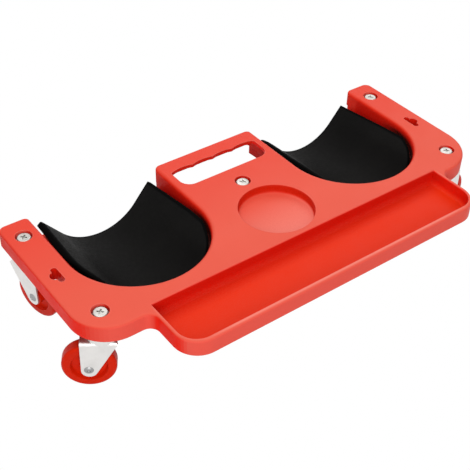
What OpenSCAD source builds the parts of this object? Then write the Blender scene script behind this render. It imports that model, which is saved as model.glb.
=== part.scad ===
// Knee creeper: a moulded deck with two padded knee cups, a tool tray and five swivel casters.
// The floor is Z = 0, +X runs along the deck and -Y is the tray side. Millimetres.

/* [Deck] */
// Length of the deck along X
deck_len = 474; // [450:1:500]
// Depth of the deck along Y, tray included
deck_depth = 235; // [230:1:240]
// Height of the deck's top face above the floor
deck_top = 88; // [87:0.5:92]
// Height of the skirt round the deck
skirt_h = 17; // [15:0.5:20]
// Thickness of the top plate
plate_t = 4; // [3:0.5:5]
// Thickness of the skirt and the cup walls
wall_t = 3; // [2.5:0.5:4]
// Rounding of the deck's outer top edges
edge_r = 2.5; // [1.5:0.5:3]
// Rounding of the mouths of the tray and the dish
mouth_r = 0.8; // [0.6:0.1:1]
// Corner radius of the left front shoulder
shoulder_r_left = 38; // [30:1:46]
// Corner radius of the right front shoulder
shoulder_r_right = 46; // [30:1:46]

/* [Knee cups] */
// Distance between the middles of the two cups
cup_pitch = 266; // [260:1:272]
// Radius of a cup's round front and half its width
cup_r = 71.2; // [70:0.1:72]
// Rounding of the cups' mouths
cup_edge_r = 4; // [3:0.5:4]
// Y of the centre of a cup's round front
cup_y = 36; // [32:1:38]
// Radius of the round bottom the knee rests in
knee_r = 55; // [53:0.5:56]
// Angle from straight down at which the trough's sides run on straight
side_angle = 50; // [48:1:52]
// Length of the pad's straight sides, up from the round bottom
pad_side = 26; // [22:1:27]
// Height of the round bottom's axis above the deck, at the pad's back edge
axis_up = 7; // [5:0.5:9]
// Slope of the trough, lowest at the back
trough_tilt = 4; // [3:0.5:5]
// Thickness of the foam pad
pad_t = 6.3; // [5:0.1:7]
// Y of the pad's back edge
pad_back = 110; // [106:1:112]
// Depth of the groove between the pad's sides and the cup's wall, below the axis
groove_drop = 31; // [29:0.5:32]

/* [Tray, dish and handle] */
// Width of the tray section along X
tray_len = 353; // [350:1:356]
// Y where the tray section leaves the front shoulders
shoulder_y = -61.5; // [-64:0.5:-59]
// Inner length of the tray
tray_in_len = 346; // [342:0.5:346]
// Y of the tray's back wall
tray_back_y = -53.2; // [-55:0.1:-52]
// Y of the tray's front wall, inside
tray_front_y = -113.2; // [-114:0.1:-112]
// Depth of the tray
tray_depth = 14.5; // [10:0.5:15]
// Radius of the round parts dish
dish_r = 38; // [34:0.5:39]
// Y of the middle of the dish
dish_y = -9.7; // [-10:0.1:-8]
// Depth of the dish
dish_depth = 9.5; // [6:0.5:11]
// Length of the hand slot
slot_len = 106; // [90:1:110]
// Y of the hand slot's straight front edge
slot_front_y = 69; // [66:1:72]
// Y of the hand slot's back edge, at the finger crests
slot_back_y = 98; // [95:1:100]

/* [Casters] */
// Wheel diameter
wheel_d = 50; // [50:0.5:51]
// Wheel width at the tread
wheel_w = 13.5; // [12:0.5:15]
// Distance from the swivel axis back to the wheel's axis
trail = 13.8; // [13:0.1:15]
// Distance across the fork's two legs, outside
fork_w = 21.6; // [21:0.1:23]
// Thickness of the fork's steel
fork_t = 1.8; // [1.5:0.1:2]
// Height of the fork's top face
fork_top = 58; // [58:0.1:58.5]
// Rest direction of the front left wheel, degrees from +X
angle_front_left = 147; // [0:1:359]
// Rest direction of the back left wheel
angle_back_left = 285; // [0:1:359]
// Rest direction of the centre wheel
angle_centre = 236; // [0:1:359]
// Rest direction of the front right wheel
angle_front_right = 9; // [0:1:359]
// Rest direction of the back right wheel
angle_back_right = 205; // [0:1:359]

/* [Hidden] */
$fn = 96;
deck_red = [0.90, 0.20, 0.14];
wheel_red = [0.80, 0.10, 0.07];
pad_black = [0.12, 0.12, 0.12];
zinc = [0.80, 0.81, 0.80];
steel = [0.62, 0.63, 0.64];
past = 1;                                // how far a cutter runs past the face it cuts

half_len = deck_len / 2;
half_depth = deck_depth / 2;
cup_x = cup_pitch / 2;
skirt_bottom = deck_top - skirt_h;
leg_in_x = cup_x + cup_r;
handle_x = cup_x - cup_r;
cup_front_y = cup_y - cup_r;
tray_x = tray_len / 2;
tray_in_x = tray_in_len / 2;
tray_wall_y = tray_back_y + wall_t;
tray_cove = 5;
tray_corner_r = 20;

// Corners of one side of the deck's outline, anticlockwise, as [x, y, corner radius]
function deck_side(shoulder_r) = [[tray_x, -half_depth, 25], [tray_x, shoulder_y, 10],
    [half_len, shoulder_y, shoulder_r], [half_len, half_depth, 8], [leg_in_x, half_depth, 6],
    [leg_in_x, cup_front_y, cup_r], [handle_x, cup_front_y, cup_r], [handle_x, half_depth, 7]];
function mirrored(path) = [for (i = [len(path) - 1:-1:0]) [-path[i].x, path[i].y, path[i][2]]];
outline = concat(deck_side(shoulder_r_right), mirrored(deck_side(shoulder_r_left)));
tray_path = [[tray_in_x, tray_front_y, tray_corner_r], [tray_in_x, tray_back_y, 0],
    [-tray_in_x, tray_back_y, 0], [-tray_in_x, tray_front_y, tray_corner_r]];

// Trough: the foam lies on a shell just outside it, and its ends stand free over a groove along the wall
foam_gap = 0.2;
shell_in_r = knee_r + pad_t + foam_gap;
shell_t = 3;
shell_back = pad_back + 2;
trough_len = 200;
pad_front_gap = 3;
pad_edge_r = 1.8;
cup_wall_t = wall_t - 0.5;
keyhole_x = 220.4;
keyhole_y = 26.6;
collar_t = 2;
collar_h = 14;

// Caster bolts as [x, y], in the order front left, back left, centre, front right, back right
bolt_at = [[-212.5, -34.5], [-220.5, 92.8], [0, 45.5], [212.5, -34.5], [220.5, 92.8]];
rest_angle = [angle_front_left, angle_back_left, angle_centre, angle_front_right, angle_back_right];
CASTERS = [0, 1, 2, 3, 4];
boss_r = 12;
boss_bottom = 67;
recess_r = 8.3;
recess_floor = deck_top - 6.2;
bolt_r = 2.95;
bolt_hole_r = 3.3;
head_r = 6.8;
head_h = 3.6;
washer_r = 7.7;
washer_t = 1.2;
head_seat = recess_floor + washer_t;
kingpin_r = 5;
kingpin_bore_r = 3.15;
flange_r = 7.3;
flange_t = 0.8;
thrust_t = 0.8;
fork_under = fork_top - fork_t;
thrust_bottom = fork_under - 0.1 - thrust_t;
flange_bottom = thrust_bottom - flange_t;
nut_h = 4.5;
nut_flats = 10;
bolt_tip = flange_bottom - nut_h - 0.8;

axle_z = wheel_d / 2;
axle_r = 2.95;
ball_r = 2.2;
ball_pitch_r = 8.7;
ball_count = 12;
race_h = 1.3;
race_r = 12;
ball_z = fork_top + race_h + 1.6;
cap_r = 13.9;
leg_round_r = 7.4;
leg_front_x = trail + 6.2;
leg_back_x = -13.5;
bend_r = 3.4;
sleeve_r = 4.5;
hub_r = 8.5;
hub_w = fork_w - 2 * fork_t - 0.8;
wheel_bore_r = sleeve_r + 0.06;

function turn(path, i) = let (n = len(path), a = path[(i + n - 1) % n], b = path[i], c = path[(i + 1) % n])
    sign((b.x - a.x) * (c.y - b.y) - (b.y - a.y) * (c.x - b.x));
function heading(path, i) = let (a = path[i], b = path[(i + 1) % len(path)])
    [sign(b.x - a.x), sign(b.y - a.y)];
function outward(d) = [d.y, -d.x];
function before(path, i) = outward(heading(path, (i + len(path) - 1) % len(path)));
function after(path, i) = outward(heading(path, i));
function at(p) = [p.x, p.y];

// Centre of a corner's arc: inside the outline on an outer corner, outside it on an inner one
function arc_centre(path, i) = at(path[i]) - turn(path, i) * path[i][2] * (before(path, i) + after(path, i));
// The same outline with every side moved in by t
function inset(path, t) = [for (i = [0:len(path) - 1])
    let (p = at(path[i]) - t * (before(path, i) + after(path, i)))
    [p.x, p.y, path[i][2] == 0 ? 0 : path[i][2] - turn(path, i) * t]];

// The square corner outside a corner's arc
module corner_waste(path, i) {
    r = path[i][2];
    c = arc_centre(path, i);
    s = turn(path, i);
    a = s * before(path, i);
    b = s * after(path, i);
    difference() {
        polygon([c, c + (r + past) * a, c + (r + past) * (a + b), c + (r + past) * b]);
        translate(c) circle(r);
    }
}

// A flat shape with square sides and rounded corners
module rounded_shape(path) {
    difference() {
        union() {
            polygon([for (p = path) at(p)]);
            for (i = [0:len(path) - 1]) if (path[i][2] > 0 && turn(path, i) < 0) corner_waste(path, i);
        }
        for (i = [0:len(path) - 1]) if (path[i][2] > 0 && turn(path, i) > 0) corner_waste(path, i);
    }
}

// Runs a flat profile along a path: profile x points outward and y up.
// Corners of radius skip_r, and the sides that end in them, are left out. Sharp corners are turned if asked.
module along_path(path, skip_r = -1, turn_sharp = false) {
    n = len(path);
    for (i = [0:n - 1]) {
        j = (i + 1) % n;
        d = heading(path, i);
        p = at(path[i]) + path[i][2] * d;
        q = at(path[j]) - path[j][2] * d;
        if (path[i][2] != skip_r && path[j][2] != skip_r) translate([p.x, p.y, 0])
            rotate([0, 0, atan2(d.y, d.x)]) mirror([0, 1, 0]) rotate([90, 0, 90])
                linear_extrude(norm(q - p)) children();
        if (path[i][2] != skip_r && (turn_sharp || path[i][2] > 0)) {
            c = arc_centre(path, i);
            s = turn(path, i);
            from = s > 0 ? before(path, i) : -after(path, i);
            translate([c.x, c.y, 0]) rotate([0, 0, atan2(from.y, from.x)])
                rotate_extrude(angle = 90) translate([path[i][2], 0]) mirror([s > 0 ? 0 : 1, 0]) children();
        }
    }
}

// What a rounded top edge removes, with the edge at the origin
module edge_waste(r) {
    difference() {
        translate([-r, -r]) square(r + past);
        translate([-r, -r]) circle(r);
    }
}

// What the rounded mouth of a hollow removes, with the hollow's wall at x = 0
module mouth_waste(r) {
    difference() {
        translate([0, -r]) square([r, r + past]);
        translate([r, -r]) circle(r);
    }
}

// What a rounded inner corner adds, with the corner at the origin
module cove(r) {
    difference() {
        translate([-r, 0]) square(r);
        translate([-r, r]) circle(r);
    }
}

module cup_plan(r, back_y) {
    translate([0, cup_y]) circle(r);
    translate([-r, cup_y]) square([2 * r, back_y - cup_y]);
}

// Extrudes a cross-section along the trough's sloping axis
module along_trough() {
    translate([0, pad_back, deck_top + axis_up]) rotate([-trough_tilt, 0, 0]) rotate([90, 0, 0])
        translate([0, 0, -trough_len / 4]) linear_extrude(trough_len) children();
}

// Point on the trough's straight right side, for a surface at radius r: s is the way up from the round bottom
function on_side(r, s) = r * [sin(side_angle), -cos(side_angle)] + s * [cos(side_angle), sin(side_angle)];
function flipped(p) = [-p.x, p.y];

// Section of everything above a surface at radius r: a round bottom that runs on into straight sides
module trough_area(r, reach) {
    ease = 0.02;
    a = on_side(r - ease, 0);
    b = on_side(r - ease, reach);
    circle(r);
    polygon([a, b, flipped(b), flipped(a)]);
}

// Everything in the section above a level, measured down from the axis
module above(drop) {
    wide = cup_r + 2 * wall_t;
    translate([-wide, -drop]) square([2 * wide, drop + trough_len / 4]);
}

module cup_shell() {
    intersection() {
        linear_extrude(deck_top) cup_plan(cup_r + cup_wall_t, shell_back);
        along_trough() {
            trough_area(shell_in_r + shell_t, pad_side);
            above(groove_drop + shell_t);
        }
    }
}

// What the rounded mouth of a cup removes
module cup_mouth_waste() {
    straight = half_depth + past - cup_y;
    translate([0, cup_y, deck_top]) {
        rotate([0, 0, 180]) rotate_extrude(angle = 180)
            translate([cup_r, 0]) mirror([1, 0]) edge_waste(cup_edge_r);
        for (s = [0, 1]) mirror([s, 0, 0]) translate([cup_r, straight, 0]) rotate([90, 0, 0])
            linear_extrude(straight) mirror([1, 0]) edge_waste(cup_edge_r);
    }
}

module cup_hollow() {
    intersection() {
        linear_extrude(deck_top + past) cup_plan(cup_r, half_depth + past);
        along_trough() {
            trough_area(shell_in_r, pad_side);
            above(groove_drop);
        }
    }
}

// Section of a pad: a bent sheet with square-cut ends and its two inner edges rounded
module pad_section() {
    set_in = 0.05;
    far = 3 * knee_r;
    end = on_side(0, pad_side);
    end_out = on_side(far, pad_side);
    difference() {
        trough_area(knee_r + pad_t, pad_side + pad_t);
        trough_area(knee_r, far);
        polygon([end, end_out, [far, far], [-far, far], flipped(end_out), flipped(end)]);
        for (s = [0, 1]) mirror([s, 0]) translate(on_side(knee_r, pad_side)) rotate(side_angle)
            translate([set_in, set_in]) edge_waste(pad_edge_r);
    }
}

module knee_pad(side) {
    color(pad_black) translate([side * cup_x, 0, 0]) intersection() {
        linear_extrude(deck_top) cup_plan(cup_r - pad_front_gap, pad_back);
        along_trough() pad_section();
    }
}

// Hand slot with four shallow finger hollows along its back edge
module slot_plan() {
    front_r = 12;
    back_r = 3;
    finger_depth = 2;
    finger_pitch = (slot_len - 2 * back_r) / 4;
    finger_r = (finger_pitch * finger_pitch / 4 + finger_depth * finger_depth) / (2 * finger_depth);
    rounded_shape([[slot_len / 2, slot_front_y, front_r], [slot_len / 2, slot_back_y, back_r],
        [-slot_len / 2, slot_back_y, back_r], [-slot_len / 2, slot_front_y, front_r]]);
    intersection() {
        for (k = [-1.5:1:1.5]) translate([k * finger_pitch, slot_back_y + finger_depth - finger_r])
            circle(finger_r);
        translate([-slot_len / 2, slot_back_y - past]) square([slot_len, past + finger_depth]);
    }
}

// Hanging hole, grown by t: a straight slot along the leg with a round entry that swells outward
module keyhole_plan(t = 0) {
    slot_r = 3;
    slot_l = 21;
    entry_r = 5.4;
    entry_x = 2.2;
    end_y = slot_l / 2 - slot_r;
    translate([-slot_r - t, -end_y]) square([2 * (slot_r + t), 2 * end_y]);
    for (s = [-1, 1]) translate([0, s * end_y]) circle(slot_r + t);
    translate([entry_x, 0]) circle(entry_r + t);
}

module at_keyholes() {
    for (s = [0, 1]) mirror([s, 0]) translate([keyhole_x, keyhole_y]) children();
}

module rib(x0, y0, x1, y1, drop) {
    rib_t = 2;
    across = x0 == x1 ? [rib_t, y1 - y0] : [x1 - x0, rib_t];
    translate([x0 == x1 ? x0 - rib_t / 2 : x0, x0 == x1 ? y0 : y0 - rib_t / 2, deck_top - drop])
        cube([across.x, across.y, drop - plate_t / 2]);
}

module deck_ribs() {
    rib_drop = 13;
    leg_rib_y = 55;
    front_ribs = [92, 133, 174];
    for (s = [-1, 1]) {
        for (x = front_ribs) {
            reach = cup_y - sqrt(pow(cup_r + wall_t / 2, 2) - pow(x - cup_x, 2));
            rib(s * x, tray_wall_y - past, s * x, reach, rib_drop);
        }
        corner_r = s > 0 ? shoulder_r_right : shoulder_r_left;
        corner = [half_len - corner_r, shoulder_y + corner_r];
        skirt_r = corner_r - wall_t / 2;
        bolt = bolt_at[3];
        front_reach = corner.y - sqrt(pow(skirt_r, 2) - pow(bolt.x - corner.x, 2));
        side_reach = corner.x + sqrt(pow(skirt_r, 2) - pow(bolt.y - corner.y, 2));
        mirror([s > 0 ? 0 : 1, 0, 0]) {
            rib(bolt.x, front_reach, bolt.x, bolt.y - recess_r, rib_drop);
            rib(bolt.x + recess_r, bolt.y, side_reach, bolt.y, rib_drop);
            rib(leg_in_x + past, leg_rib_y, half_len - past, leg_rib_y, rib_drop);
            rib(recess_r, bolt_at[2].y, handle_x - past, bolt_at[2].y, rib_drop);
            rib(dish_r, dish_y, handle_x + wall_t, dish_y, rib_drop);
        }
    }
    rib(0, dish_y + dish_r, 0, bolt_at[2].y - recess_r, rib_drop);
}

module deck() {
    dish_wall = 2.5;
    color(deck_red) {
        difference() {
            union() {
                translate([0, 0, deck_top - plate_t]) linear_extrude(plate_t) rounded_shape(outline);
                translate([0, 0, skirt_bottom]) linear_extrude(skirt_h) difference() {
                    rounded_shape(outline);
                    rounded_shape(inset(outline, wall_t));
                }
                translate([0, 0, skirt_bottom]) linear_extrude(skirt_h) intersection() {
                    rounded_shape(outline);
                    translate([-tray_x, -half_depth]) square([2 * tray_x, half_depth + tray_wall_y]);
                }
                for (s = [-1, 1]) translate([s * cup_x, 0, 0]) cup_shell();
                for (p = bolt_at) translate([p.x, p.y, boss_bottom])
                    cylinder(r = boss_r, h = deck_top - boss_bottom - plate_t / 2);
                translate([0, dish_y, deck_top - dish_depth - dish_wall])
                    cylinder(r = dish_r + dish_wall, h = dish_depth);
                translate([0, 0, deck_top - collar_h]) linear_extrude(collar_h - plate_t / 2)
                    at_keyholes() keyhole_plan(collar_t);
                deck_ribs();
            }
            for (s = [-1, 1]) translate([s * cup_x, 0, 0]) {
                cup_hollow();
                cup_mouth_waste();
            }
            translate([0, 0, deck_top - tray_depth]) linear_extrude(skirt_h) rounded_shape(tray_path);
            translate([0, 0, deck_top]) along_path(tray_path, turn_sharp = true) mouth_waste(mouth_r);
            translate([0, 0, deck_top]) along_path(outline, cup_r) edge_waste(edge_r);
            translate([0, dish_y, deck_top]) rotate_extrude() dish_section();
            translate([0, 0, skirt_bottom]) linear_extrude(2 * skirt_h) {
                slot_plan();
                at_keyholes() keyhole_plan();
            }
            for (p = bolt_at) translate([p.x, p.y, 0]) {
                translate([0, 0, recess_floor]) cylinder(r = recess_r, h = deck_top);
                translate([0, 0, boss_bottom - past]) cylinder(r = bolt_hole_r, h = deck_top);
            }
        }
        translate([0, 0, deck_top - tray_depth]) along_path(tray_path) cove(tray_cove);
    }
}

// Half section of the dish's hollow: flat floor, coved foot and eased rim
module dish_section() {
    foot_r = 3;
    difference() {
        translate([0, -dish_depth]) square([dish_r, dish_depth + past]);
        translate([dish_r, -dish_depth]) cove(foot_r);
    }
    translate([dish_r, 0]) mouth_waste(mouth_r);
}

module at_bolts() {
    for (p = bolt_at) translate([p.x, p.y, 0]) children();
}

// Places a caster's moving pieces: local +X trails from the swivel axis towards the wheel
module at_caster(i) {
    translate([bolt_at[i].x, bolt_at[i].y, 0]) rotate([0, 0, rest_angle[i]]) children();
}

// Pan-head machine screw with a cross recess
module bolt() {
    recess_w = 1.6;
    recess_l = 6.4;
    recess_d = 1.5;
    crown = 1.4;
    difference() {
        translate([0, 0, head_seat]) rotate_extrude() difference() {
            square([head_r, head_h]);
            translate([head_r - crown, head_h - crown]) difference() {
                square(crown + past);
                circle(crown);
            }
        }
        for (a = [0, 90]) translate([0, 0, head_seat + head_h]) rotate([0, 0, a + 45])
            cube([recess_l, recess_w, 2 * recess_d], center = true);
    }
    translate([0, 0, bolt_tip]) cylinder(r = bolt_r, h = head_seat - bolt_tip + head_h / 4);
}

module caster_bolts() {
    color(zinc) at_bolts() bolt();
}

module ring(inner_r, outer_r, h) {
    difference() {
        cylinder(r = outer_r, h = h);
        translate([0, 0, -past]) cylinder(r = inner_r, h = h + 2 * past);
    }
}

module bolt_washers() {
    color(zinc) at_bolts() translate([0, 0, recess_floor]) ring(bolt_hole_r, washer_r, washer_t);
}

// Upper bearing cup: a pressed cap that shields the balls
module race_caps() {
    skirt_t = 1.4;
    clear = 0.3;
    chamfer_w = 3.6;
    cap_bottom = fork_top + race_h - 0.4;
    color(zinc) at_bolts() rotate_extrude() difference() {
        translate([kingpin_r, cap_bottom]) square([cap_r - kingpin_r, boss_bottom - cap_bottom]);
        translate([0, fork_top]) square([cap_r - skirt_t, ball_z - fork_top]);
        translate([ball_pitch_r, ball_z]) circle(ball_r + clear);
        translate([cap_r, boss_bottom]) rotate(45) square(chamfer_w, center = true);
    }
}

// Hollow rivet that the fork turns on, with a flange rolled out below
module kingpins() {
    color(steel) at_bolts() difference() {
        union() {
            translate([0, 0, flange_bottom]) cylinder(r = kingpin_r, h = boss_bottom - flange_bottom);
            translate([0, 0, flange_bottom]) cylinder(r = flange_r, h = flange_t);
        }
        translate([0, 0, flange_bottom - past]) cylinder(r = kingpin_bore_r, h = deck_top - boss_bottom);
    }
}

module thrust_washers() {
    color(steel) at_bolts() translate([0, 0, thrust_bottom]) ring(kingpin_r, flange_r, thrust_t);
}

module lock_nuts() {
    color(zinc) at_bolts() translate([0, 0, flange_bottom - nut_h]) difference() {
        cylinder(r = nut_flats / 2 / cos(30), h = nut_h, $fn = 6);
        translate([0, 0, -past]) cylinder(r = bolt_r + 0.05, h = nut_h + 2 * past);
    }
}

// Side view of the fork: X towards the wheel, Y up, with a round end about the axle
module fork_side() {
    c = [trail - 0.4, axle_z - 1];
    back_top = [leg_back_x, fork_top - 2];
    reach = norm(c - back_top);
    lean = atan2(c.y - back_top.y, c.x - back_top.x);
    side = lean - 90 - asin(leg_round_r / reach);
    tangent = c + leg_round_r * [cos(side), sin(side)];
    translate(c) circle(leg_round_r);
    polygon([tangent, c, [c.x + leg_round_r, c.y], [leg_front_x, fork_top], [leg_back_x + 2, fork_top],
        back_top]);
}

// End view of the fork's bent channel, open below
module fork_channel() {
    outer = [[fork_w / 2, -past, 0], [fork_w / 2, fork_top, bend_r], [-fork_w / 2, fork_top, bend_r],
        [-fork_w / 2, -past, 0]];
    in_x = fork_w / 2 - fork_t;
    in_r = bend_r - fork_t;
    inner = [[in_x, -2 * past, 0], [in_x, fork_under, in_r], [-in_x, fork_under, in_r], [-in_x, -2 * past, 0]];
    difference() {
        rounded_shape(outer);
        rounded_shape(inner);
    }
}

module fork() {
    color(zinc) difference() {
        union() {
            intersection() {
                rotate([90, 0, 0]) linear_extrude(2 * fork_w, center = true) fork_side();
                rotate([90, 0, 90]) linear_extrude(4 * fork_w, center = true) fork_channel();
            }
            translate([0, 0, fork_under]) cylinder(r = race_r, h = fork_t + race_h);
        }
        rotate_extrude() translate([ball_pitch_r, ball_z]) circle(ball_r + 0.1);
        translate([0, 0, fork_under - past]) cylinder(r = kingpin_r + 0.05, h = deck_top);
        translate([trail, 0, axle_z]) rotate([90, 0, 0])
            cylinder(r = axle_r + 0.05, h = 2 * fork_w, center = true);
    }
}

module balls() {
    color(steel) for (k = [0:ball_count - 1]) rotate([0, 0, k * 360 / ball_count])
        translate([ball_pitch_r, 0, ball_z]) sphere(r = ball_r);
}

// Turns a half section about the wheel's axle
module about_axle() {
    translate([trail, 0, axle_z]) rotate([90, 0, 0]) rotate_extrude() children();
}

module sleeve() {
    half = fork_w / 2 - fork_t - 0.05;
    color(steel) about_axle() translate([axle_r + 0.05, -half]) square([sleeve_r - axle_r - 0.05, 2 * half]);
}

// Axle rivet: a low dome with a dimpled middle on each side of the fork
module rivet() {
    rivet_head_r = 4.4;
    rivet_head_h = 1.8;
    dimple_r = 1.6;
    face = fork_w / 2;
    dome_r = (rivet_head_r * rivet_head_r + rivet_head_h * rivet_head_h) / (2 * rivet_head_h);
    color(steel) about_axle() difference() {
        union() {
            translate([0, -face - 0.5]) square([axle_r, fork_w + 1]);
            for (s = [0, 1]) mirror([0, s]) intersection() {
                translate([0, face + rivet_head_h - dome_r]) circle(dome_r);
                translate([0, face]) square([rivet_head_r, rivet_head_h]);
            }
        }
        for (s = [-1, 1]) translate([0, s * (face + rivet_head_h)]) circle(dimple_r);
    }
}

// Moulded wheel: rounded tread, dished sides and a hub a little wider than the tread
module wheel() {
    tread_round = 3;
    rim_in_r = 17;
    web_half = 3;
    draft = 1.5;
    half_w = wheel_w / 2;
    color(wheel_red) about_axle() difference() {
        union() {
            translate([wheel_bore_r, -hub_w / 2]) square([hub_r - wheel_bore_r, hub_w]);
            translate([hub_r - past, -half_w]) square([wheel_d / 2 - hub_r + past, wheel_w]);
        }
        for (s = [0, 1]) mirror([0, s]) {
            translate([wheel_d / 2, half_w]) edge_waste(tread_round);
            polygon([[hub_r, half_w + past], [hub_r, web_half], [rim_in_r - draft, web_half],
                [rim_in_r, half_w], [rim_in_r, half_w + past]]);
        }
    }
}

deck();
knee_pad(-1);  // knee_pad_left
knee_pad(1);  // knee_pad_right
caster_bolts();
bolt_washers();
race_caps();
kingpins();
thrust_washers();
lock_nuts();
at_caster(0) fork();  // fork_front_left
at_caster(1) fork();  // fork_back_left
at_caster(2) fork();  // fork_centre
at_caster(3) fork();  // fork_front_right
at_caster(4) fork();  // fork_back_right
at_caster(0) balls();  // balls_front_left
at_caster(1) balls();  // balls_back_left
at_caster(2) balls();  // balls_centre
at_caster(3) balls();  // balls_front_right
at_caster(4) balls();  // balls_back_right
at_caster(0) sleeve();  // sleeve_front_left
at_caster(1) sleeve();  // sleeve_back_left
at_caster(2) sleeve();  // sleeve_centre
at_caster(3) sleeve();  // sleeve_front_right
at_caster(4) sleeve();  // sleeve_back_right
at_caster(0) rivet();  // rivet_front_left
at_caster(1) rivet();  // rivet_back_left
at_caster(2) rivet();  // rivet_centre
at_caster(3) rivet();  // rivet_front_right
at_caster(4) rivet();  // rivet_back_right
at_caster(0) wheel();  // wheel_front_left
at_caster(1) wheel();  // wheel_back_left
at_caster(2) wheel();  // wheel_centre
at_caster(3) wheel();  // wheel_front_right
at_caster(4) wheel();  // wheel_back_right
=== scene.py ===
import bpy
import math
from mathutils import Matrix, Vector


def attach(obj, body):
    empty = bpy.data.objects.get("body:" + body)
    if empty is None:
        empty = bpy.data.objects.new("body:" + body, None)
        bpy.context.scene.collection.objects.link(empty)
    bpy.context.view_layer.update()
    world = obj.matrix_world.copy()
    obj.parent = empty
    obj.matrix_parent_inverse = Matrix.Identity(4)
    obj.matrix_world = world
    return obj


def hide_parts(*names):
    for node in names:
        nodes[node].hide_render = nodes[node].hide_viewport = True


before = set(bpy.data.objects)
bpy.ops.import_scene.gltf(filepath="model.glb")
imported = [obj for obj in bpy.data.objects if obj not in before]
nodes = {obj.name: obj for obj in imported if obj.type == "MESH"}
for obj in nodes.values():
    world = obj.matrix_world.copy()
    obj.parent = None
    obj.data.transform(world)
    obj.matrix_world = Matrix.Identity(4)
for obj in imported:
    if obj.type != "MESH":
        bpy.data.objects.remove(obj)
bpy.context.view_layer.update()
scene = bpy.context.scene
scene.view_settings.view_transform = "Standard"

MM = 0.001
CASTERS = ("front_left", "back_left", "centre", "front_right", "back_right")


# Camera, lamps and surroundings, in metres

CAMERA_AT = (-0.4694, -0.5546, 0.6464)
YAW, PITCH, ROLL = math.radians(-37.56), math.radians(39.61), math.radians(1.584)
FOCAL_PX, PHOTO_PX, SENSOR_MM = 929.87, 470, 36
# Each lamp's name, place, target, size and watts
LAMPS = (("overhead", (-0.15, 0.10, 1.5), (0, 0, 0.05), (1.4, 1.1), 10),
         ("back_right", (1.0, 1.0, 1.2), (0.1, 0, 0.05), (1.2, 0.9), 7),
         ("front_left", (-0.9, -1.4, 0.8), (0, 0, 0.05), (1.0, 0.9), 13))
WHITE, FLOOR_GREY = (1, 1, 1), (0.62, 0.62, 0.62)
SKY_STRENGTH = 0.40
FLOOR_REACH = 6


def set_camera():
    """The camera fitted to the photograph: 40 degrees down, from the front left."""
    forward = Vector((-math.sin(YAW) * math.cos(PITCH), math.cos(YAW) * math.cos(PITCH), -math.sin(PITCH)))
    level = Vector((math.cos(YAW), math.sin(YAW), 0))
    up = level.cross(forward)
    right = math.cos(ROLL) * level + math.sin(ROLL) * up
    up = -math.sin(ROLL) * level + math.cos(ROLL) * up
    data = bpy.data.cameras.new("camera")
    data.sensor_width = SENSOR_MM
    data.lens = FOCAL_PX * SENSOR_MM / PHOTO_PX
    data.clip_start = 0.01
    camera = bpy.data.objects.new("camera", data)
    turn = Matrix((right, up, -forward)).transposed().to_4x4()
    camera.matrix_world = Matrix.Translation(CAMERA_AT) @ turn
    scene.collection.objects.link(camera)
    scene.camera = camera


def add_lamp(name, place, target, size, power):
    data = bpy.data.lights.new(name, "AREA")
    data.shape = "RECTANGLE"
    data.size, data.size_y = size
    data.energy = power
    lamp = bpy.data.objects.new(name, data)
    lamp.location = place
    lamp.rotation_euler = (Vector(target) - Vector(place)).to_track_quat("-Z", "Y").to_euler()
    scene.collection.objects.link(lamp)


def white_backdrop(tree, out_kind, matt_kind, matt_inputs, white_kind):
    """Builds a tree that is plain white to the camera and to gloss, and lights the object softly otherwise."""
    tree.nodes.clear()
    path = tree.nodes.new("ShaderNodeLightPath")
    either = tree.nodes.new("ShaderNodeMath")
    either.operation = "MAXIMUM"
    tree.links.new(path.outputs["Is Camera Ray"], either.inputs[0])
    tree.links.new(path.outputs["Is Glossy Ray"], either.inputs[1])
    matt = tree.nodes.new(matt_kind)
    for key, value in matt_inputs.items():
        matt.inputs[key].default_value = value
    white = tree.nodes.new(white_kind)
    white.inputs["Color"].default_value = (*WHITE, 1)
    white.inputs["Strength"].default_value = 1.0
    mix = tree.nodes.new("ShaderNodeMixShader")
    tree.links.new(either.outputs[0], mix.inputs[0])
    tree.links.new(matt.outputs[0], mix.inputs[1])
    tree.links.new(white.outputs[0], mix.inputs[2])
    tree.links.new(mix.outputs[0], tree.nodes.new(out_kind).inputs["Surface"])


def set_world():
    world = bpy.data.worlds.new("studio")
    scene.world = world
    world.use_nodes = True
    white_backdrop(world.node_tree, "ShaderNodeOutputWorld", "ShaderNodeBackground",
                   {"Color": (*WHITE, 1), "Strength": SKY_STRENGTH}, "ShaderNodeBackground")


def add_floor():
    mesh = bpy.data.meshes.new("floor")
    corners = [(sx * FLOOR_REACH, sy * FLOOR_REACH, 0) for sx, sy in ((-1, -1), (1, -1), (1, 1), (-1, 1))]
    mesh.from_pydata(corners, [], [(0, 1, 2, 3)])
    floor = bpy.data.objects.new("floor", mesh)
    scene.collection.objects.link(floor)
    mat = bpy.data.materials.new("pale_floor")
    mat.use_nodes = True
    white_backdrop(mat.node_tree, "ShaderNodeOutputMaterial", "ShaderNodeBsdfDiffuse",
                   {"Color": (*FLOOR_GREY, 1)}, "ShaderNodeEmission")
    mesh.materials.append(mat)


# Materials. Noise scales are per metre, and depths and radii are in metres.

MIX_A, MIX_B, MIX_COLOUR = 6, 7, 2  # the colour sockets of a Mix node
BEVEL_SAMPLES = 4


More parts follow.
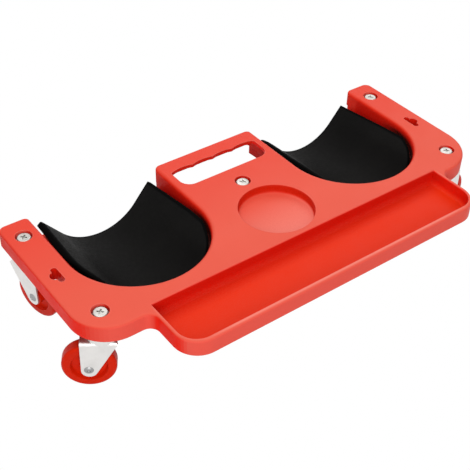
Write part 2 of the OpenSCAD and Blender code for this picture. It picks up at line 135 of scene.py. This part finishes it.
class Shader:
    """A principled material with short calls for adding procedural detail."""

    def __init__(self, name, base, roughness, metallic=0.0, specular=0.5):
        self.mat = bpy.data.materials.new(name)
        self.mat.use_nodes = True
        self.tree = self.mat.node_tree
        self.bsdf = self.tree.nodes["Principled BSDF"]
        self.base = base
        self.bsdf.inputs["Base Color"].default_value = (*base, 1)
        self.bsdf.inputs["Roughness"].default_value = roughness
        self.bsdf.inputs["Metallic"].default_value = metallic
        self.bsdf.inputs["Specular IOR Level"].default_value = specular
        self.where = self.node("ShaderNodeTexCoord").outputs["Object"]

    def node(self, kind, **inputs):
        made = self.tree.nodes.new(kind)
        for key, value in inputs.items():
            made.inputs[key.replace("_", " ")].default_value = value
        return made

    def link(self, a, b):
        self.tree.links.new(a, b)

    def noise(self, scale, detail=3.0, roughness=0.55, stretch=None):
        """Noise about 0.5; stretch scales it along each axis, so less than 1 draws it out."""
        made = self.node("ShaderNodeTexNoise", Scale=scale, Detail=detail, Roughness=roughness)
        source = self.where
        if stretch:
            mapping = self.node("ShaderNodeMapping")
            mapping.inputs["Scale"].default_value = stretch
            self.link(self.where, mapping.inputs["Vector"])
            source = mapping.outputs[0]
        self.link(source, made.inputs["Vector"])
        return made.outputs["Fac"]

    def ramp(self, source, low, high, a=0.0, b=1.0):
        """Runs from a to b while the source runs from low to high."""
        made = self.node("ShaderNodeMapRange")
        for key, value in (("From Min", low), ("From Max", high), ("To Min", a), ("To Max", b)):
            made.inputs[key].default_value = value
        self.link(source, made.inputs["Value"])
        return made.outputs["Result"]

    def above(self, source, limit, blur=MM):
        """1 above the limit and 0 below it, with a soft step as wide as the blur."""
        return self.ramp(source, limit - blur / 2, limit + blur / 2)

    def below(self, source, limit, blur=MM):
        """1 below the limit and 0 above it, with a soft step as wide as the blur."""
        return self.ramp(source, limit + blur / 2, limit - blur / 2)

    def math(self, operation, a, b=0.0):
        made = self.node("ShaderNodeMath")
        made.operation = operation
        for socket, value in zip(made.inputs, (a, b)):
            if isinstance(value, (int, float)):
                socket.default_value = value
            else:
                self.link(value, socket)
        return made.outputs[0]

    def every(self, *masks):
        """The product of masks, and of the plain numbers that weaken them."""
        product = masks[0]
        for mask in masks[1:]:
            product = self.math("MULTIPLY", product, mask)
        return product

    def either(self, *masks):
        """1 where at least one mask is 1."""
        largest = masks[0]
        for mask in masks[1:]:
            largest = self.math("MAXIMUM", largest, mask)
        return largest

    def hypot(self, a, b):
        return self.math("SQRT", self.math("ADD", self.math("MULTIPLY", a, a), self.math("MULTIPLY", b, b)))

    def mix(self, factor, a, b):
        """Mixes two colours, each a triple or a socket."""
        made = self.node("ShaderNodeMix")
        made.data_type = "RGBA"
        self.link(factor, made.inputs["Factor"])
        for socket, value in ((made.inputs[MIX_A], a), (made.inputs[MIX_B], b)):
            if isinstance(value, tuple):
                socket.default_value = (*value, 1)
            else:
                self.link(value, socket)
        return made.outputs[MIX_COLOUR]

    def axes(self, vector):
        split = self.node("ShaderNodeSeparateXYZ")
        self.link(vector, split.inputs[0])
        return split.outputs[0], split.outputs[1], split.outputs[2]

    def facing(self):
        """The direction that each face looks in, as three sockets."""
        return self.axes(self.node("ShaderNodeNewGeometry").outputs["True Normal"])

    def distance(self, point):
        """How far a place is from a point of the object's own space."""
        made = self.node("ShaderNodeVectorMath")
        made.operation = "DISTANCE"
        made.inputs[1].default_value = point
        self.link(self.where, made.inputs[0])
        return made.outputs["Value"]

    def colour(self, socket):
        self.link(socket, self.bsdf.inputs["Base Color"])

    def rough(self, socket):
        self.link(socket, self.bsdf.inputs["Roughness"])

    def eased_normal(self, radius):
        eased = self.node("ShaderNodeBevel", Radius=radius)
        eased.samples = BEVEL_SAMPLES
        return eased.outputs[0]

    def relief(self, layers, edge=0.0):
        """Stacks bumps, each (height socket, depth in metres), over edges eased by a small radius."""
        normal = self.eased_normal(edge) if edge else None
        for height, depth in layers:
            bump = self.node("ShaderNodeBump", Distance=depth, Strength=1.0)
            self.link(height, bump.inputs["Height"])
            if normal is not None:
                self.link(normal, bump.inputs["Normal"])
            normal = bump.outputs[0]
        self.link(normal, self.bsdf.inputs["Normal"])

    def edge_mask(self, radius, reach):
        """1 on edges that stick out or in by less than the radius, 0 on flat places."""
        dot = self.node("ShaderNodeVectorMath")
        dot.operation = "DOT_PRODUCT"
        self.link(self.eased_normal(radius), dot.inputs[0])
        self.link(self.node("ShaderNodeNewGeometry").outputs["Normal"], dot.inputs[1])
        return self.ramp(dot.outputs["Value"], 1.0, 1.0 - reach)


def lighter(rgb, by):
    return tuple(min(1.0, c + (1 - c) * by) for c in rgb)


def darker(rgb, by):
    return tuple(c * (1 - by) for c in rgb)


# The deck's forms, in metres, as far as its colours follow them. Each X is a distance from the middle plane, and
# each fade is the Y where it is half done and its length.

TRAY_X, TRAY_BACK_Y, TRAY_FRONT_Y, TRAY_TOP_Z = 0.1743, -0.05225, -0.1137, 0.0865
TRAY_CORNER_X, TRAY_CORNER_Y, TRAY_CORNER_R = 0.1515, -0.0925, 0.0233
TRAY_FOOT_Y = -0.064
# Where the painted highlight on the tray's lip lies, and how it weakens towards the ends
LIP_FROM_R, LIP_TO_R, LIP_Z, LIP_BACK_Y = 0.0206, 0.0234, 0.0867, -0.057
LIP_STRONG_X, LIP_WEAK_X, LIP_WEAK = 0.130, 0.156, 0.35
DISH_Y, DISH_Z, DISH_R, DISH_TOP_Z, DISH_WALL_T = -0.0097, 0.0785, 0.038, 0.0845, 0.00175
MIDDLE_X, MIDDLE_FRONT_Y = 0.2055, -0.0495
LEG_X, LEG_FRONT_Y = 0.2315, -0.0245
OPEN_END_Y = 0.097
SLOT_X, SLOT_FRONT_Y, SLOT_BACK_Y = 0.0565, 0.0605, 0.1035
CUP_X, CUP_Y = 0.133, 0.036
CUP_WALL_IN, CUP_WALL_OUT = 0.0605, 0.07415
CUP_END_Y, INNER_ARM_X, INNER_ARM_END_Y = 0.098, 0.095, 0.109
LOW_WALL_Z, GAP_Z, GAP_Y, GAP_X = 0.08275, 0.08075, 0.0425, 0.048
RIM_Z = 0.08625
BACK_FADE = (0.045, 0.110)
TRAY_FADE = (-0.095, 0.020)
SIDE_FADE = (0.075, 0.070)
# Limits of a part of a face's normal, each with its blur: up, to the front or left, to the front round the tray's
# corners, and squarely to the left
LEVEL, FRONTAL, TRAY_FRONTAL, LEFTWARD = (0.65, 0.5), (-0.6, 0.6), (-0.25, 0.4), (-0.89, 0.18)

# Painted sheen: the tops are paler than the walls, and painted shade darkens them towards the back
LIT_TOP_RED, BACK_SHADE_RED = (0.82, 0.108, 0.067), (0.80, 0.066, 0.040)
# Painted light and shade on the walls: shaded walls, paler lit walls facing the front, and lit walls facing left in
# a deeper red
SHADED_WALL_RED, LIT_FRONT_WALL_RED, LIT_LEFT_WALL_RED = (0.80, 0.018, 0.005), (0.90, 0.102, 0.072), (0.96, 0.010, 0.0)
# Painted shade in the pockets and at the foot of the tray's back wall
POCKET_FLOOR_SHADE_RED, POCKET_WALL_SHADE_RED, TRAY_FOOT_SHADE_RED = (0.79, 0.026, 0.001), (0.76, 0.009, 0.0), (0.60, 0.004, 0.0)
# Painted light on the dish's floor, and painted shade on the dish's wall and on the hand slot's end
DISH_LIT_RED, DISH_WALL_SHADE_RED, SLOT_END_SHADE_RED = (0.96, 0.270, 0.215), (0.62, 0.013, 0.0), (0.98, 0.006, 0.0)
# Painted shade low on the cup walls, a painted black shadow in the gap beside the pads, and a painted highlight on
# the rims
LOW_WALL_SHADE_RED, GAP_SHADOW_BLACK, RIM_HIGHLIGHT_RED = (0.68, 0.003, 0.0), (0.02, 0.001, 0.001), (0.94, 0.30, 0.24)


def deck_plastic():
    """Moulded polypropylene, finely pebbled all over, with light and shade painted in: painted sheen on the tops,
    walls lit or shaded by the way they face, painted shade in the pockets. The tones that the photograph shows in
    each form are placed by the deck's own coordinates and by the way its faces look."""
    s = Shader("deck_polypropylene", LIT_TOP_RED, 0.42, specular=0.06)
    x, y, z = s.axes(s.where)
    nx, ny, nz = s.facing()
    side_x = s.math("ABSOLUTE", x)
    upright, level = s.below(nz, *LEVEL), s.above(nz, *LEVEL)

    # Plain faces: broad flow marks, painted shade deepening towards the back, and walls painted lit or shaded by
    # the way they face
    body = s.mix(s.ramp(s.noise(7, 4), 0.35, 0.65), darker(LIT_TOP_RED, 0.05), lighter(LIT_TOP_RED, 0.006))
    body = s.mix(s.above(y, *BACK_FADE), body, BACK_SHADE_RED)
    frontal = s.either(s.below(ny, *FRONTAL), s.every(s.below(ny, *TRAY_FRONTAL), s.below(y, *TRAY_FADE)))
    walls = s.mix(frontal, SHADED_WALL_RED, LIT_FRONT_WALL_RED)
    walls = s.mix(s.every(s.below(nx, *LEFTWARD), s.below(y, *SIDE_FADE)), walls, LIT_LEFT_WALL_RED)
    body = s.mix(upright, body, walls)

    # Tray, cup walls and hand slot: painted shade in the pockets, at the foot of the tray's back wall, on the
    # dish's wall and on the slot's end that faces left
    past_x = s.math("MAXIMUM", s.math("SUBTRACT", side_x, TRAY_CORNER_X), 0.0)
    past_y = s.math("MINIMUM", s.math("SUBTRACT", y, TRAY_CORNER_Y), 0.0)
    tray_r = s.hypot(past_x, past_y)
    tray = s.every(s.below(side_x, TRAY_X), s.below(y, TRAY_BACK_Y, 0.0015), s.above(y, TRAY_FRONT_Y),
                   s.below(z, TRAY_TOP_Z, 0.0014), s.below(tray_r, TRAY_CORNER_R))
    open_end = s.below(y, OPEN_END_Y, 0.006)
    middle = s.every(s.below(side_x, MIDDLE_X), s.above(y, MIDDLE_FRONT_Y), open_end)
    legs = s.every(s.below(side_x, LEG_X), s.above(y, LEG_FRONT_Y), open_end)
    slot = s.every(s.below(side_x, SLOT_X), s.below(y, SLOT_BACK_Y), s.above(y, SLOT_FRONT_Y))
    pocket = s.either(tray, s.math("MULTIPLY", upright, s.either(middle, legs, slot)))
    body = s.mix(pocket, body, s.mix(upright, POCKET_FLOOR_SHADE_RED, POCKET_WALL_SHADE_RED))
    body = s.mix(s.every(tray, s.above(y, TRAY_FOOT_Y, 0.016), 0.75), body, TRAY_FOOT_SHADE_RED)
    from_dish = s.distance((0, DISH_Y, DISH_Z))
    body = s.mix(s.every(upright, s.below(from_dish, DISH_R + DISH_WALL_T, 0.0005)), body, DISH_WALL_SHADE_RED)
    body = s.mix(s.every(upright, slot, s.below(nx, *FRONTAL)), body, SLOT_END_SHADE_RED)

    # Low in the cups: painted shade on the walls, and a painted black shadow in the gap beside the pads
    dx = s.math("SUBTRACT", side_x, CUP_X)
    from_cup = s.hypot(dx, s.math("MINIMUM", s.math("SUBTRACT", y, CUP_Y), 0.0))
    inner_arm = s.every(s.below(side_x, INNER_ARM_X, 0.010), s.below(y, INNER_ARM_END_Y, 0.006))
    cup_wall = s.every(s.above(from_cup, CUP_WALL_IN), s.below(from_cup, CUP_WALL_OUT, 0.0007),
                       s.either(s.below(y, CUP_END_Y, 0.006), inner_arm))
    body = s.mix(s.every(cup_wall, s.below(z, LOW_WALL_Z, 0.0045), 0.9), body, LOW_WALL_SHADE_RED)
    gap_shadow = s.every(cup_wall, s.below(z, GAP_Z, 0.0035), s.below(y, GAP_Y, 0.025),
                  s.above(s.math("ABSOLUTE", dx), GAP_X, 0.008))
    body = s.mix(gap_shadow, body, GAP_SHADOW_BLACK)

    # The dish's floor with painted light, paler to the front, then speckle, and painted highlights on the rims
    lit_dish = s.every(s.below(from_dish, DISH_R), s.below(z, DISH_TOP_Z), level,
                   s.ramp(y, DISH_Y + 0.6 * DISH_R, DISH_Y - 0.9 * DISH_R))
    body = s.mix(s.every(lit_dish, 0.8), body, DISH_LIT_RED)
    body = s.mix(s.every(s.ramp(s.noise(900, 2), 0.35, 0.7), 0.20), body, darker(LIT_TOP_RED, 0.12))
    lip_highlight = s.every(s.above(tray_r, LIP_FROM_R, 0.0006), s.below(tray_r, LIP_TO_R, 0.0018), s.above(z, LIP_Z),
                  s.below(y, LIP_BACK_Y, 0.006), s.ramp(side_x, LIP_STRONG_X, LIP_WEAK_X, 1.0, LIP_WEAK))
    rim_highlight = s.every(s.edge_mask(0.0012, 0.20), s.above(z, RIM_Z, 0.0015))
    body = s.mix(s.every(s.either(lip_highlight, rim_highlight), 0.6), body, RIM_HIGHLIGHT_RED)
    s.colour(body)
    s.rough(s.ramp(s.noise(60, 4), 0.3, 0.7, 0.38, 0.48))
    s.relief([(s.noise(1100, 2), 0.00004), (s.noise(160, 2), 0.00003)], edge=0.0007)
    return s.mat


def wheel_plastic():
    """Harder moulded plastic, a little darker than the deck, with fine scuffs."""
    s = Shader("wheel_plastic", (0.74, 0.019, 0.002), 0.40, specular=0.07)
    s.colour(s.mix(s.ramp(s.noise(40, 3), 0.35, 0.65), darker(s.base, 0.12), s.base))
    s.rough(s.ramp(s.noise(220, 4), 0.3, 0.7, 0.28, 0.46))
    s.relief([(s.noise(700, 3), 0.00003)], edge=0.0006)
    return s.mat


def foam():
    """Closed-cell foam skin: fine cells, almost black, with a soft sheen. The trimmed edges are blacker and duller,
    and the black runs on beside them as a painted shadow band, wider on the -X side.
    """
    s = Shader("pad_foam", (0.0050, 0.0048, 0.0046), 0.62, specular=0.04)
    cells = s.noise(1500, 3, 0.7)
    body = s.mix(s.ramp(s.noise(24, 3), 0.35, 0.65), (0.0040, 0.0037, 0.0035), (0.0053, 0.0049, 0.0046))
    body = s.mix(s.every(s.ramp(cells, 0.55, 0.75), 0.5), body, (0.0095, 0.009, 0.0085))
    # Painted shadow: this attribute blackens the trimmed edges and a band beside them
    cut = s.node("ShaderNodeAttribute")
    cut.attribute_name = "cut"
    s.colour(s.mix(cut.outputs["Fac"], body, (0.0015, 0.0015, 0.0015)))
    s.rough(s.either(s.ramp(s.noise(300, 3), 0.3, 0.7, 0.52, 0.68), cut.outputs["Fac"]))
    s.relief([(cells, 0.00012), (s.noise(260, 2), 0.00010)])
    return s.mat


def plated(name, base, roughness, spangle=0.06):
    """Zinc-plated or plain steel: rolled grain, faint spangle, duller in patches."""
    s = Shader(name, base, roughness, metallic=1.0)
    s.colour(s.mix(s.ramp(s.noise(70, 4), 0.35, 0.65), darker(base, spangle), lighter(base, spangle)))
    grain = s.noise(500, 3, 0.6, stretch=(1, 1, 0.08))
    s.rough(s.ramp(grain, 0.3, 0.7, roughness - 0.06, roughness + 0.08))
    s.relief([(grain, 0.00001), (s.noise(240, 2), 0.00001)], edge=0.0003)
    return s.mat


def paint(names, mat):
    for name in names:
        mesh = nodes[name].data
        mesh.materials.clear()
        mesh.materials.append(mat)


def each(*pieces):
    """The named piece of every caster."""
    return [f"{piece}_{caster}" for piece in pieces for caster in CASTERS]


def paint_cad():
    zinc = plated("zinc_plate", (0.76, 0.74, 0.72), 0.40)
    screw = plated("screw_zinc", (0.44, 0.43, 0.40), 0.50, 0.12)
    steel = plated("plain_steel", (0.60, 0.61, 0.62), 0.36)
    rivet = plated("rivet_steel", (0.34, 0.34, 0.34), 0.42)
    paint(["deck"], deck_plastic())
    paint(["caster_bolts", "bolt_washers"], screw)
    paint(["race_caps", "lock_nuts"] + each("fork"), zinc)
    paint(["kingpins", "thrust_washers"] + each("balls", "sleeve"), steel)
    paint(each("rivet"), rivet)
    paint(each("wheel"), wheel_plastic())


# Knee pads, in millimetres. The sizes are those of the solids that the pads stand for, apart from the sides and
# front corners, which follow the photograph: they end unevenly and lean out over the groove towards the front.

PAD_X, PAD_Y = CUP_X / MM, CUP_Y / MM
PLAN_R, TOP_Z = 68.2, 87.4
KNEE_R, PAD_T = 55.0, 6.3
SIDE_ANGLE = math.radians(50)
BACK_Y = 110.0
LEAN_FROM, LEAN_RISE, LEAN_RUN, LEAN_POWER = 9.0, 17.0, 70.0, 1.3
# Each pad's sides towards -X and +X: length above the bend, most lean, and the Y from which it leans
SIDES = {-1: ((30.0, 5.0, BACK_Y), (26.0, 5.0, BACK_Y)),
         1: ((19.0, 7.0, BACK_Y + LEAN_RUN), (23.5, 5.0, BACK_Y))}
AXIS_Z, TILT = 95.0, math.radians(4)
MID_R = KNEE_R + PAD_T / 2
ARC_HALF = MID_R * SIDE_ANGLE
# Radii of the rounded edges, inside and outside
EDGE_IN, EDGE_OUT = 1.7, 0.7
# The blackened band along the edges, the trimmed edge with a painted shadow beside it: its width on the -X and +X
# sides, its soft edge, and how fast one width becomes the other towards the middle
EDGE_SHADE_NEAR, EDGE_SHADE_FAR, EDGE_SHADE_BLUR, EDGE_SHADE_CHANGE = 5.0, 2.4, 0.8, 3
CROWN, CROWN_REACH = 0.4, 22.0
# Front corners, on each pad's sides towards -X and +X: how far across they turn, and how far back
CORNER_NEAR, CORNER_FAR = (28.0, 16.0), (18.0, 10.0)
# Steps across and along the sheet, and the rows over a rounded edge, as shares of it
ACROSS, ALONG = 80, 48
EDGE_ROWS = (0, 0.06, 0.2, 0.42, 0.7, 1.0)
# Passes until the front edge settles, and the share of a side over which its slope is taken
FRONT_PASSES, SLOPE_STEP = 4, 0.01


def clamp(t):
    return min(max(t, 0), 1)


def spread(low, high, edge, count):
    """Places from low to high: close together over the rounded edge at each end, even between."""
    near = [edge * t for t in EDGE_ROWS]
    inner = high - low - 2 * edge
    middle = [low + edge + inner * i / count for i in range(1, count)]
    return [low + d for d in near] + middle + [high - d for d in reversed(near)]


def axis_z(y):
    """Height of the trough's axis, which falls towards the back."""
    return AXIS_Z + math.tan(TILT) * (BACK_Y - y)


def section(a, r, y, arm):
    """A point of the trough's section at y: a runs across along the middle of the sheet, r is out from the axis."""
    bent = max(-ARC_HALF, min(ARC_HALF, a))
    phi = bent / MID_R
    free = clamp((abs(a) - ARC_HALF - LEAN_FROM) / LEAN_RISE)
    lean = arm[1] * free ** LEAN_POWER * clamp((arm[2] - y) / LEAN_RUN)
    return (r * math.sin(phi) + (a - bent) * math.cos(phi) + math.copysign(lean, a),
            -r * math.cos(phi) + (a - bent) * math.sin(phi))


def half_width(arm, y):
    """From the sheet's middle to its side edge: the side's own length, or less where it nears the deck's top."""
    rise = (TOP_Z - axis_z(y)) * math.cos(TILT)
    return ARC_HALF + min(arm[0], (rise + KNEE_R * math.cos(SIDE_ANGLE)) / math.sin(SIDE_ANGLE))


def front_edge(share, arm, r):
    """Y of the sheet's front edge: it follows the cup's round front and turns softly into the sides."""
    y = PAD_Y - PLAN_R / 2
    reach, rise = CORNER_NEAR if share < 0 else CORNER_FAR
    for _ in range(FRONT_PASSES):
        half = half_width(arm, y)
        dx = section(share * half, r, y, arm)[0]
        t = clamp(1 - half * (1 - abs(share)) / reach)
        y = PAD_Y - math.sqrt(max(PLAN_R ** 2 - dx * dx, 0)) + rise * (1 - math.sqrt(1 - t * t))
    return y


def fallen(d, r):
    """How far a rounded edge of radius r has fallen away at a distance d from the side."""
    d = min(max(d, 0), r)
    return r - math.sqrt(max(r * r - (r - d) ** 2, 0))


def pad_points(side):
    """The sheet's points, first inside and then outside, how far each is blackened as trimmed edge and painted
    shadow, and the two counts.
    """
    points, cuts = [], []
    low, high = (ARC_HALF + arm[0] for arm in SIDES[side])
    across = spread(-low, high, EDGE_IN, ACROSS)
    for inner in (True, False):
        layer_r, edge = (KNEE_R, EDGE_IN) if inner else (KNEE_R + PAD_T, EDGE_OUT)
        for place in across:
            full, arm = (low, SIDES[side][0]) if place < 0 else (high, SIDES[side][1])
            share = place / full
            # Width of the blackened band here, trimmed edge and painted shadow, wider on the -X side
            cut = EDGE_SHADE_FAR + (EDGE_SHADE_NEAR - EDGE_SHADE_FAR) * clamp(-EDGE_SHADE_CHANGE * share)
            front = front_edge(share, arm, layer_r)
            toward = share - math.copysign(SLOPE_STEP, share)
            slope = (front_edge(toward, arm, layer_r) - front) / (SLOPE_STEP * full)
            column = spread(front, BACK_Y, EDGE_IN, ALONG)
            for y in column:
                half = half_width(arm, y)
                d_side, d_back = half * (1 - abs(share)), BACK_Y - y
                near = min(d_side, (y - front) / math.hypot(1, slope), d_back)
                fall = fallen(near, edge)
                if inner:
                    t = min(min(d_side, y - front, d_back) / CROWN_REACH, 1)
                    fall -= CROWN * t * (2 - t)
                dx, up = section(share * half, layer_r + (fall if inner else -fall), y, arm)
                points.append(Vector((side * PAD_X + dx, y, axis_z(y) + up / math.cos(TILT))) * MM)
                cuts.append(clamp((cut - near) / EDGE_SHADE_BLUR) if inner else 1.0)
    return points, cuts, len(across), len(column)


def sheet_faces(n, m):
    """Faces of a closed sheet of two layers, each of n columns of m points."""
    def index(layer, i, j):
        return layer * n * m + i * m + j

    faces = []
    for i in range(n - 1):
        for j in range(m - 1):
            faces.append((index(0, i, j), index(0, i + 1, j), index(0, i + 1, j + 1), index(0, i, j + 1)))
            faces.append((index(1, i, j), index(1, i, j + 1), index(1, i + 1, j + 1), index(1, i + 1, j)))
        faces.append((index(0, i, 0), index(1, i, 0), index(1, i + 1, 0), index(0, i + 1, 0)))
        faces.append((index(0, i, m - 1), index(0, i + 1, m - 1), index(1, i + 1, m - 1), index(1, i, m - 1)))
    for j in range(m - 1):
        faces.append((index(0, 0, j), index(0, 0, j + 1), index(1, 0, j + 1), index(1, 0, j)))
        faces.append((index(0, n - 1, j), index(1, n - 1, j), index(1, n - 1, j + 1), index(0, n - 1, j + 1)))
    return faces


def pad_mesh(name, side):
    """A foam sheet bent into the trough, with eased edges, a soft crown and the cup's round front."""
    points, cuts, n, m = pad_points(side)
    mesh = bpy.data.meshes.new(name)
    mesh.from_pydata(points, [], sheet_faces(n, m))
    mesh.attributes.new("cut", "FLOAT", "POINT").data.foreach_set("value", cuts)
    mesh.update()
    mesh.shade_smooth()
    return mesh


def add_pads(mat):
    for word, side in (("left", -1), ("right", 1)):
        mesh = pad_mesh(f"foam_pad_{word}", side)
        pad = bpy.data.objects.new(f"foam_pad_{word}", mesh)
        scene.collection.objects.link(pad)
        mesh.materials.append(mat)
        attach(pad, "deck_assembly")
        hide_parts(f"knee_pad_{word}")


set_camera()
set_world()
add_floor()
for lamp in LAMPS:
    add_lamp(*lamp)
paint_cad()
add_pads(foam())
